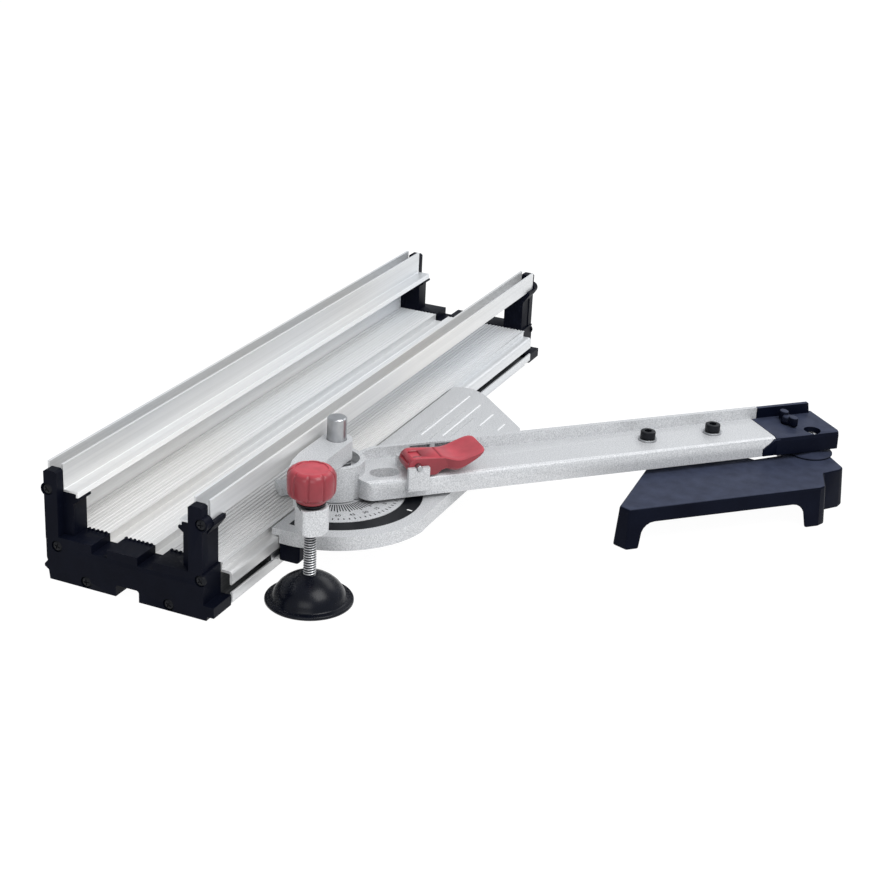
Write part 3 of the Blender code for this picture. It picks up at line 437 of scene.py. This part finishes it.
# ------------------------------------------------------------ guide rails, base
rail = refined("left_guide_rail", ALUMINIUM, 0.35)
rail.data.materials.append(LIT_WALL_ALU)
# The rail's faces towards the table, between these heights, take the light copy: painted light in the ledge's
# shade.
for face in rail.data.polygons:
    where = (rail.matrix_world @ face.center - SHIFT) / MM
    lit_wall_band = 30.0 < where.z < 79.0
    if face.normal.x > 0.7 and lit_wall_band:
        face.material_index = 1
refined("right_guide_rail", ALUMINIUM, 0.35)


def ribbed(start, stop, depth=0.32, gap=0.2):
    """Points along a ribbed strip at table height, from start to stop."""
    count = max(1, round((stop - start - 1.2) / RIB_PITCH))
    step = (stop - start - 1.2) / count
    points = [(start, TABLE_TOP)]
    for k in range(count):
        x = start + 0.6 + step * k
        points += [(x + step * (0.5 - gap), TABLE_TOP), (x + step * (0.5 - gap * 0.5), TABLE_TOP - depth),
                   (x + step * (0.5 + gap * 0.5), TABLE_TOP - depth), (x + step * (0.5 + gap), TABLE_TOP)]
    return points + [(stop, TABLE_TOP)]


base_profile = [(3.0, 0.0)] + ribbed(3.0, 43.5) + [(43.5, 30.3), (57.5, 30.3)] + ribbed(57.5, 84.0)
base_profile += [(84.0, 30.3), (97.5, 30.3)] + ribbed(97.5, 141.0, 0.9)
# The edge beside the table, rounded over the side slot's upper lip.
base_profile += [(142.4, 37.0), (142.8, 36.4), (142.4, 35.6), (142.0, 35.0), (142.0, 31.0), (147.4, 31.0),
                 (148.8, 30.75), (149.9, 30.1), (150.45, 29.1), (150.6, 28.0), (150.6, 20.4), (150.2, 20.0)]
# The side slot and its lower lip.
base_profile += [(148.6, 20.0), (148.6, 28.2), (147.8, 29.0), (140.4, 29.0), (140.4, 8.0), (149.0, 8.0),
                 (149.0, 13.6), (149.4, 14.0), (150.6, 14.0), (151.0, 13.6), (151.0, 7.4), (150.6, 6.4),
                 (149.8, 6.0), (145.5, 6.0)]
# The hollow underside, from right to left.
base_profile += [(145.5, 0.0), (130.0, 0.0), (130.0, 2.0), (138.4, 2.0), (138.4, 34.5), (100.0, 34.5),
                 (100.0, 27.8), (81.5, 27.8), (81.5, 34.5), (60.0, 34.5), (60.0, 27.8), (41.0, 27.8),
                 (41.0, 34.5), (5.5, 34.5), (5.5, 2.0), (18.0, 2.0), (18.0, 0.0)]
base = prism("vis_base_extrusion", base_profile, CAP_REACH, RAIL_LENGTH - CAP_REACH, "y", material=ALUMINIUM,
             smooth=25.0)
base.data.materials.append(SLOT_PAINTED_SHADE)
base.data.materials.append(LIT_TABLE_ALU)
for face in base.data.polygons:
    where = (face.center - SHIFT) / MM
    shaded_slot_face = 139.0 < where.x < 149.1 and 7.0 < where.z < 29.5
    lit_table_face = where.x < 141.5 and where.z > 35.8
    # Faces inside the side slot take the dark copy: painted shade in the slot.
    if shaded_slot_face and abs(face.normal.y) < 0.5:
        face.material_index = 1
    # The table strips take the lighter copy: painted light on the shaded table.
    if lit_table_face:
        face.material_index = 2
stand_for(base, "base_extrusion")

# ------------------------------------------------------------------- end caps
CAP_SCREWS = [(5.2, 75.1), (138.9, 77.0), (12.2, 29.0), (138.4, 31.5), (37.8, 4.9), (110.8, 4.9)]
TOOTHED = [(24.5, 43.2), (57.8, 83.7), (98.0, 113.5), (130.0, 140.8)]
for prefix, place in (("near", lambda y: y), ("far", lambda y: RAIL_LENGTH - y)):
    node = prefix + "_end_cap"
    refined(node, BLACK, 0.5)
    for first, last in TOOTHED:
        teeth = [(first, 36.9)]
        count = round((last - first) / RIB_PITCH)
        step = (last - first) / count
        for k in range(count):
            x = first + step * k
            teeth += [(x, 37.1), (x + step * 0.12, 38.2), (x + step * 0.5, 38.2), (x + step * 0.62, 37.1)]
        teeth += [(last, 36.9)]
        ends = sorted((place(13.6), place(15.8)))
        name = "vis_" + prefix + "_teeth_" + str(int(first))
        rim = prism(name, teeth, ends[0], ends[1], "y", material=BLACK)
        ride_with(rim, node)
    for number, (x, z) in enumerate(CAP_SCREWS, 1):
        reach = 5.5 if number < 3 else 20.0
        sign = 1.0 if prefix == "near" else -1.0
        here = WORLD @ Matrix.Translation((x, place(-9.0), z)) @ Matrix.Diagonal((1.0, sign, 1.0, 1.0))
        head = [(0.0, 0.15), (2.2, 0.2), (3.5, 0.55), (4.2, 1.1), (4.4, 1.9), (2.0, 1.9), (2.0, 1.9 + reach),
                (0.0, 1.9 + reach)]
        screw = turned("vis_" + prefix + "_cap_screw_" + str(number), head, here, DARK, 36, "y")
        turn = Matrix.Rotation(math.radians(20.0 + 31.0 * number), 4, "Y")
        combine(screw, [prism("cross", cross_slot(0.5, 2.4), -1.0, 1.3, "y", here @ turn, smooth=0)])
        stand_for(screw, prefix + "_cap_screw_" + str(number))

# ------------------------------------------------------- mitre plate and dial
refined("mitre_plate", CASTING, 0.4)
PLATE_RIDGES = [(166.8, 312.0, 419.0), (184.0, 320.0, 404.0), (203.0, 340.0, 389.0), (221.0, 356.0, 373.0)]
RIDGE_ARCH = [(-1.1, 36.6), (-0.9, 37.2), (-0.45, 37.55), (0.45, 37.55), (0.9, 37.2), (1.1, 36.6)]
# The ridges take the light casting copy: a painted highlight along them.
for number, (x, first, last) in enumerate(PLATE_RIDGES, 1):
    arch = [(x + off, z) for off, z in RIDGE_ARCH]
    ridge = prism("vis_plate_ridge_" + str(number), arch, first, last, "y", material=RIDGE, smooth=50.0)
    ride_with(ridge, "mitre_plate")
refined("protractor_ring", BLACK_SHADE, 0.3)
refined("protractor_disc", CASTING, 0.25)
refined("near_slot_jaw", BLACK, 1.2, 3)
refined("far_slot_jaw", BLACK, 1.2, 3)
refined("near_slot_nut", STEEL, 0.3)
refined("far_slot_nut", STEEL, 0.3)


def marks(name, entries, low, high, material, node):
    """Many flat radial strokes as one printed piece."""
    points = []
    faces = []
    for angle, inner, outer, width in entries:
        turn = Matrix.Rotation(math.radians(angle), 3, "Z")
        half = width / 2.0
        start = len(points)
        for level in (low, high):
            for x, y in ((inner, -half), (outer, -half), (outer, half), (inner, half)):
                flat = turn @ Vector((x, y, 0.0))
                points.append((flat.x, flat.y, level))
        faces += [[start, start + 3, start + 2, start + 1], [start + 4, start + 5, start + 6, start + 7]]
        for k in range(4):
            after = (k + 1) % 4
            faces.append([start + k, start + after, start + 4 + after, start + 4 + k])
    made = build(name, points, faces, AT_POST, material, smooth=0)
    return ride_with(made, node)


INNER_STEP = 3.75
OUTER_STEP = 5.0
scale = []
for step in range(-24, 25):
    scale.append((INNER_STEP * step, 25.0, 39.0 if step % 4 == 0 else 37.0, 1.0))
for step in range(-17, 18):
    scale.append((OUTER_STEP * step, 50.0, 52.6, 1.0))
marks("vis_dial_ticks", scale, TABLE_TOP - 0.05, TABLE_TOP + 0.08, PRINT, "protractor_disc")
marks("vis_dial_index", [(-1.0, 64.8, 69.4, 1.3)], TABLE_TOP - 0.3, TABLE_TOP, WHITE, "protractor_ring")
for degree in range(-60, 61, 15):
    curve = bpy.data.curves.new("digits", "FONT")
    curve.body = str(abs(degree))
    curve.size = 5.0
    curve.align_x = "CENTER"
    curve.align_y = "CENTER"
    curve.extrude = 0.06
    curve.offset = 0.05
    curve.resolution_u = 3
    holder = bpy.data.objects.new("digits", curve)
    bpy.context.scene.collection.objects.link(holder)
    graph = bpy.context.evaluated_depsgraph_get()
    graph.update()
    mesh = bpy.data.meshes.new_from_object(holder.evaluated_get(graph))
    bpy.data.objects.remove(holder)
    out = Matrix.Translation((44.6, 0.0, TABLE_TOP + 0.02)) @ Matrix.Rotation(math.radians(90.0), 4, "Z")
    mesh.transform(AT_POST @ Matrix.Rotation(math.radians(degree), 4, "Z") @ out)
    digits = bpy.data.objects.new("vis_dial_number_" + str(degree + 60), mesh)
    bpy.context.scene.collection.objects.link(digits)
    mesh.materials.clear()
    mesh.materials.append(PRINT)
    ride_with(digits, "protractor_disc")

# ------------------------------------------------------------------ fence arm
# What the near wall loses where it runs into the hub.
flare = [(9.0, -36.0), (9.0, -19.0), (12.6, -19.2), (13.2, -22.0), (14.6, -25.2), (16.8, -28.0),
         (19.8, -30.0), (23.5, -31.2), (27.5, -32.0), (27.5, -36.0)]
refined("fence_arm", CASTING, 0.7, 2, [prism("flare", flare, 36.0, 60.0, "z", AT_ARM, smooth=0)])
# Dark panels inside the fence windows: painted shade in the openings.
for number, (first, last) in enumerate(((68.2, 85.8), (90.2, 104.3)), 1):
    pane = rectangle(first, last, 58.7, 64.0)
    back = prism("vis_window_painted_shade_" + str(number), pane, 16.4, 17.4, "y", AT_ARM, SHADE)
    ride_with(back, "fence_arm")
refined("lock_plunger", STEEL, 0.3)
refined("lever_pin", STEEL, 0.2)
ARM_SCREWS = (277.5, 340.0)
KNURLS = 64


def knurled(r, h, angle):
    """Fine straight knurl round a socket screw's head."""
    if r < 6.3 or h < 58.3 or h > 63.9:
        return r
    return r - (0.18 if int(round(angle * KNURLS / (2.0 * math.pi))) % 2 else 0.0)


for number, s in enumerate(ARM_SCREWS, 1):
    at = AT_ARM @ Matrix.Translation((s, -5.5, 0.0))
    head = [(0.0, 64.3), (5.6, 64.3), (6.2, 64.1), (6.5, 63.6), (6.5, 58.4), (6.2, 58.2), (4.0, 58.2),
            (4.0, 40.5), (0.0, 40.5)]
    screw = turned("vis_arm_screw_" + str(number), head, at, DARK, KNURLS, radius=knurled)
    combine(screw, [prism("hex", circle((0.0, 0.0), 3.6, 10.0, 370.0, 6), 60.8, 66.0, "z", at, smooth=0)])
    stand_for(screw, "arm_screw_" + str(number))
    refined("arm_washer_" + str(number), STEEL, 0.2)
    refined("bar_nut_" + str(number), STEEL, 0.3)


# ------------------------------------------------------------------ cam lever
def loft(name, sections, matrix, material, **more):
    """Skin a closed row of rings that all have as many points."""
    points = [point for ring in sections for point in ring]
    size = len(sections[0])
    faces = [list(range(size)), list(range(len(points) - size, len(points)))]
    for row in range(len(sections) - 1):
        for k in range(size):
            a = row * size + k
            b = row * size + (k + 1) % size
            faces.append([a, b, b + size, a + size])
    return build(name, points, faces, matrix, material, **more)


def paddle_ring(s, near, far, top, bottom, scoop):
    """One section of the lever's paddle, square to the arm, with rounded corners."""
    ring = []
    middle = (near + far) / 2.0
    half = (far - near) / 2.0
    for k in range(17):
        t = -1.0 + k / 8.0
        edge = 1.0 - abs(t) ** 14
        ring.append((s, -(middle + half * t), top - scoop * (1.0 - abs(t) ** 6) - 0.9 * (1.0 - edge)))
    for k in range(13):
        t = 1.0 - k / 6.0
        edge = abs(t) ** 6
        ring.append((s, -(middle + (half - 0.7) * t), bottom + 0.34 * (top - bottom) * edge))
    return ring


# Along the arm: near edge, far edge, top, bottom and scoop of each section.
PADDLE = [(79.0, 7.5, 29.3, 71.6, 61.0, 0.0),
          (82.0, 6.6, 30.2, 71.5, 60.5, 0.1),
          (85.0, 5.6, 31.6, 71.0, 59.6, 0.3),
          (88.0, 4.2, 33.4, 70.6, 58.8, 0.5),
          (91.0, 2.9, 35.2, 70.5, 58.6, 0.8),
          (94.0, 2.0, 36.4, 70.8, 59.3, 1.1),
          (98.0, 1.4, 37.2, 71.9, 61.4, 1.3),
          (102.0, 1.1, 37.6, 73.3, 64.1, 1.4),
          (106.0, 1.0, 37.7, 74.7, 67.0, 1.4),
          (110.0, 1.3, 37.4, 76.0, 70.2, 1.2),
          (113.0, 2.4, 36.2, 76.8, 72.8, 0.8),
          (114.6, 4.4, 34.0, 77.0, 74.3, 0.4),
          (115.2, 7.0, 31.0, 76.9, 75.2, 0.2)]
AT_LEVER = AT_ARM @ Matrix.Translation((LEVER_PIN[0], 0.0, LEVER_PIN[1]))
shape = circle((0.0, -1.0), 7.8, 80.0, 290.0, 28)
shape += [(10.0, -9.3), (15.5, -9.3), (17.5, -8.6), (21.0, -5.7), (24.0, -4.8), (27.0, -5.0), (28.0, 3.2),
          (24.0, 4.8), (12.0, 5.9), (3.0, 6.6)]
body = prism("vis_lock_lever", shape, -30.5, -6.3, "y", AT_LEVER, RED)
soften(body, 1.1, 3)
step = prism("step", rectangle(-3.5, 5.0, 5.2, 10.0), -25.0, -14.0, "y", AT_LEVER, smooth=0)
notch = prism("notch", rectangle(-14.0, -5.4, 0.5, 3.0), -27.0, -10.0, "y", AT_LEVER, smooth=0)
bore = [(0.0, -40.0), (2.7, -40.0), (2.7, 0.0), (0.0, 0.0)]
hole = turned("hole", bore, AT_LEVER, segments=32, axis="y", smooth=0)
combine(body, [step, notch, hole])
combine(body, [loft("paddle", [paddle_ring(*row) for row in PADDLE], AT_ARM, RED)], "UNION")
round_over(body, 38.0)
stand_for(body, "lock_lever")


# --------------------------------------------------- end piece, wing, foot
refined("extension_bar", BAR_ALU, 0.4)
refined("arm_end_piece", BLACK_PAINTED_TOP, 0.8, 3)
pan = [(0.0, 37.0), (3.0, 37.0), (3.0, 50.3), (4.7, 50.3), (5.0, 51.0), (4.6, 52.2), (3.6, 52.9), (2.0, 53.3),
       (0.0, 53.4)]
head = turned("vis_end_piece_screw", pan, AT_STEM, STEEL, 48)
combine(head, [prism("cross", cross_slot(0.6, 2.7), 51.6, WEB_TOP, "z", AT_STEM, smooth=0)])
stand_for(head, "end_piece_screw")
AT_WING = AT_ARM @ Matrix.Translation((417.0, -3.0, 0.0))
wing_seat = WEB_TOP + 0.4
core = [(0.0, 43.0), (3.0, 43.0), (3.0, wing_seat), (6.3, wing_seat), (6.4, 59.0), (5.6, 61.5), (4.4, 62.6),
        (0.0, 62.8)]
wing = turned("vis_wing_knob", core, AT_WING, BLACK_PAINTED_TOP, 48)
for side in (-1.0, 1.0):
    lobe = [(3.7 * x, side * 7.9 + 5.1 * y) for x, y in circle((0.0, 0.0), 1.0, steps=24)]
    ear = prism("ear", lobe, 57.2, 64.8, "z", AT_WING, BLACK_PAINTED_TOP)
    soften(ear, 0.8, 3)
    combine(wing, [ear], "UNION")
round_over(wing, 38.0)
stand_for(wing, "wing_knob")
stem = [(0.0, 24.0), (6.0, 24.0), (6.0, 35.3), (19.0, 35.3), (19.8, 35.6), (19.8, 36.2), (19.0, 36.8),
        (15.0, 37.1), (11.0, 37.6), (8.0, 38.3), (6.4, 39.1), (5.8, 39.7), (3.3, 39.7), (3.3, 36.2),
        (0.0, 36.2)]
stand_for(turned("vis_foot_stem", stem, AT_STEM, BLACK_PAINTED_TOP, 80), "foot_stem")
refined("foot_keeper", STEEL, 0.3)
refined("support_foot", BLACK_PAINTED_TOP, 1.6, 3, clamp=False)

# ------------------------------------------------------------- hold-down clamp
refined("clamp_post", STEEL, 0.3)
refined("pivot_nut", STEEL, 0.5)
# Three flats square the bracket's boss, and a cup takes the collar.
cutters = []
for turn, reach in ((-135.0, 9.4), (-45.0, 11.6), (45.0, 12.2)):
    at = AT_CLAMP @ Matrix.Rotation(math.radians(turn), 4, "Z")
    slab = [(reach, -20.0), (20.0, -20.0), (20.0, 20.0), (reach, 20.0)]
    cutters.append(prism("slab", slab, 50.0, 83.0, "z", at, smooth=0))
cup = [(0.0, 77.6), (10.2, 77.6), (10.9, 78.2), (11.0, 84.0), (0.0, 84.0)]
cutters.append(turned("cup", cup, AT_CLAMP, smooth=0))
refined("clamp_bracket", CASTING, 0.9, 3, cutters)
refined("clamp_collar", DARK, 0.3)


def threaded(name, major, minor, pitch, low, high, matrix, material, steps=40, rows=8):
    """A rod with a true helical thread that runs out at both ends."""
    turns = (high - low) / pitch
    count = int(turns * rows)
    points = [(0.0, 0.0, low)]
    for row in range(count + 1):
        z = low + (high - low) * row / count
        fade = min(1.0, row / (rows * 0.7), (count - row) / (rows * 0.7))
        for step in range(steps):
            phase = (z / pitch - step / steps) % 1.0
            wave = 1.0 - abs(2.0 * phase - 1.0)
            crest = min(1.0, max(0.0, wave * 1.25 - 0.1))
            r = minor + (major - minor) * crest * fade
            angle = 2.0 * math.pi * step / steps
            points.append((r * math.cos(angle), r * math.sin(angle), z))
    points.append((0.0, 0.0, high))
    faces = []
    for row in range(count):
        for step in range(steps):
            after = (step + 1) % steps
            a = 1 + row * steps
            faces.append([a + step, a + after, a + steps + after, a + steps + step])
    for step in range(steps):
        after = (step + 1) % steps
        faces.append([0, 1 + after, 1 + step])
        last = 1 + count * steps
        faces.append([len(points) - 1, last + step, last + after])
    return build(name, points, faces, matrix, material, smooth=50.0)


spindle = threaded("vis_clamp_spindle", THREAD_CREST, THREAD_ROOT, THREAD_PITCH, 14.0, 103.0, AT_CLAMP,
                   THREAD)
stand_for(spindle, "clamp_spindle")

knob_profile = [(0.0, 103.3), (5.3, 103.3), (5.3, 83.3), (10.8, 83.3), (11.6, 84.0), (12.0, 86.0),
                (13.2, 87.2), (15.6, 88.0), (17.2, 89.2), (18.2, 91.2), (18.6, 94.0), (18.7, 98.0),
                (18.7, 102.5), (18.4, 105.0), (17.6, 107.0), (16.2, 108.6), (14.6, 109.5), (13.4, 109.8),
                (12.6, 109.7), (12.2, 109.2), (11.6, 109.1), (7.0, 109.4), (0.0, 109.5)]


def fluted(r, h, angle):
    """Broad flats round the knob, parted by narrow grooves that notch its upper rim."""
    if r < 12.3 or h < 86.5:
        return r
    step = 2.0 * math.pi / KNOB_FLUTES
    off = abs((angle + 0.18) % step - step / 2.0)
    flat = r * (1.0 - 0.55 * (1.0 - math.cos(step / 2.0 - off)))
    groove = 0.8 * max(0.0, 1.0 - off / 0.07) ** 0.8
    return flat - groove * min(1.0, (r - 11.8) / 2.0)


knob = turned("vis_clamp_knob", knob_profile, AT_CLAMP, RED, 264, radius=fluted)
stand_for(knob, "clamp_knob")

pad_profile = [(0.0, 1.0), (29.0, 1.0), (31.0, 0.3), (33.4, 0.3), (34.0, 0.9), (34.0, 2.2), (33.6, 2.9),
               (32.6, 3.1), (29.6, 3.0), (28.9, 3.3), (28.3, 4.4), (27.5, 7.0), (26.0, 10.0), (23.6, 13.2),
               (20.4, 16.2), (16.5, 18.9), (12.0, 21.1), (8.6, 22.4), (7.2, 22.8), (6.6, 23.0), (5.3, 23.0),
               (5.3, 13.7), (0.0, 13.7)]
stand_for(turned("vis_clamp_pad", pad_profile, AT_CLAMP, GLOSS, 96, smooth=50.0), "clamp_pad")

# ------------------------------------------------- floor, world, lamps, camera
FLOOR_HALF = 6.0
FLOOR_Z = -0.0005
floor_corners = [(x * FLOOR_HALF, y * FLOOR_HALF, FLOOR_Z) for x, y in ((-1, -1), (1, -1), (1, 1), (-1, 1))]
floor_mesh = bpy.data.meshes.new("floor")
floor_mesh.from_pydata(floor_corners, [], [(0, 1, 2, 3)])
floor = bpy.data.objects.new("floor", floor_mesh)
bpy.context.scene.collection.objects.link(floor)
# White to the camera and in reflections, with the object's shadow kept, and plain diffuse to other light.
f = Nodes("floor_white")
f.tree.nodes.remove(f.shader)
seen = f.add("ShaderNodeLightPath")
either = f.add("ShaderNodeMath", operation="MAXIMUM")
f.link(seen.outputs["Is Camera Ray"], either.inputs[0])
f.link(seen.outputs["Is Glossy Ray"], either.inputs[1])
every = f.add("ShaderNodeMath", operation="MAXIMUM")
f.link(either.outputs[0], every.inputs[0])
f.link(seen.outputs["Is Transmission Ray"], every.inputs[1])
diffuse = f.add("ShaderNodeBsdfDiffuse", {"Color": (0.8, 0.8, 0.8, 1.0)})
glow = f.add("ShaderNodeEmission", {"Color": (1.0, 1.0, 1.0, 1.0), "Strength": 1.1})
shadow_mix = f.add("ShaderNodeMixShader", {"Fac": 0.88})
f.link(diffuse.outputs[0], shadow_mix.inputs[1])
f.link(glow.outputs[0], shadow_mix.inputs[2])
final = f.add("ShaderNodeMixShader")
f.link(every.outputs[0], final.inputs[0])
f.link(diffuse.outputs[0], final.inputs[1])
f.link(shadow_mix.outputs[0], final.inputs[2])
f.link(final.outputs[0], f.tree.nodes["Material Output"].inputs["Surface"])
floor_mesh.materials.append(f.material)

world = bpy.data.worlds.new("studio")
bpy.context.scene.world = world
world.use_nodes = True
tree = world.node_tree
back = tree.nodes["Background"]
back.inputs["Color"].default_value = (0.93, 0.96, 1.0, 1.0)
back.inputs["Strength"].default_value = 0.68
bright = tree.nodes.new("ShaderNodeBackground")
bright.inputs["Color"].default_value = (1.0, 1.0, 1.0, 1.0)
bright.inputs["Strength"].default_value = 1.0
path = tree.nodes.new("ShaderNodeLightPath")
joined = tree.nodes.new("ShaderNodeMath")
joined.operation = "MAXIMUM"
tree.links.new(path.outputs["Is Camera Ray"], joined.inputs[0])
tree.links.new(path.outputs["Is Transmission Ray"], joined.inputs[1])
pick = tree.nodes.new("ShaderNodeMixShader")
tree.links.new(joined.outputs[0], pick.inputs[0])
tree.links.new(back.outputs[0], pick.inputs[1])
tree.links.new(bright.outputs[0], pick.inputs[2])
tree.links.new(pick.outputs[0], tree.nodes["World Output"].inputs["Surface"])


def lamp(name, place, target, width, height, power, color=(1.0, 1.0, 1.0)):
    data = bpy.data.lights.new(name, "AREA")
    data.shape = "RECTANGLE"
    data.size = width
    data.size_y = height
    data.energy = power
    data.color = color
    made = bpy.data.objects.new(name, data)
    made.location = place
    aim = Vector(target) - Vector(place)
    made.rotation_euler = aim.to_track_quat("-Z", "Y").to_euler()
    bpy.context.scene.collection.objects.link(made)


lamp("key", (1.0, -0.35, 1.75), (0.0, 0.0, 0.0), 1.1, 1.1, 28.0)
lamp("fill", (0.45, -2.0, 1.1), (0.0, 0.0, 0.0), 1.3, 0.9, 11.0)
lamp("rim", (0.5, 1.6, 1.5), (0.0, 0.0, 0.05), 1.4, 0.8, 8.0)

data = bpy.data.cameras.new("camera")
data.lens = 75.05
data.sensor_width = 36.0
data.clip_end = 20.0
camera = bpy.data.objects.new("camera", data)
bpy.context.scene.collection.objects.link(camera)
eye = WORLD @ Vector((761.3, -1024.5, 653.0))
spin = (Matrix.Rotation(0.409887, 4, "Z") @ Matrix.Rotation(math.pi / 2 - 0.39808, 4, "X")
        @ Matrix.Rotation(0.04886, 4, "Z"))
camera.matrix_world = Matrix.Translation(eye) @ spin
bpy.context.scene.camera = camera
bpy.context.scene.view_settings.view_transform = "Standard"
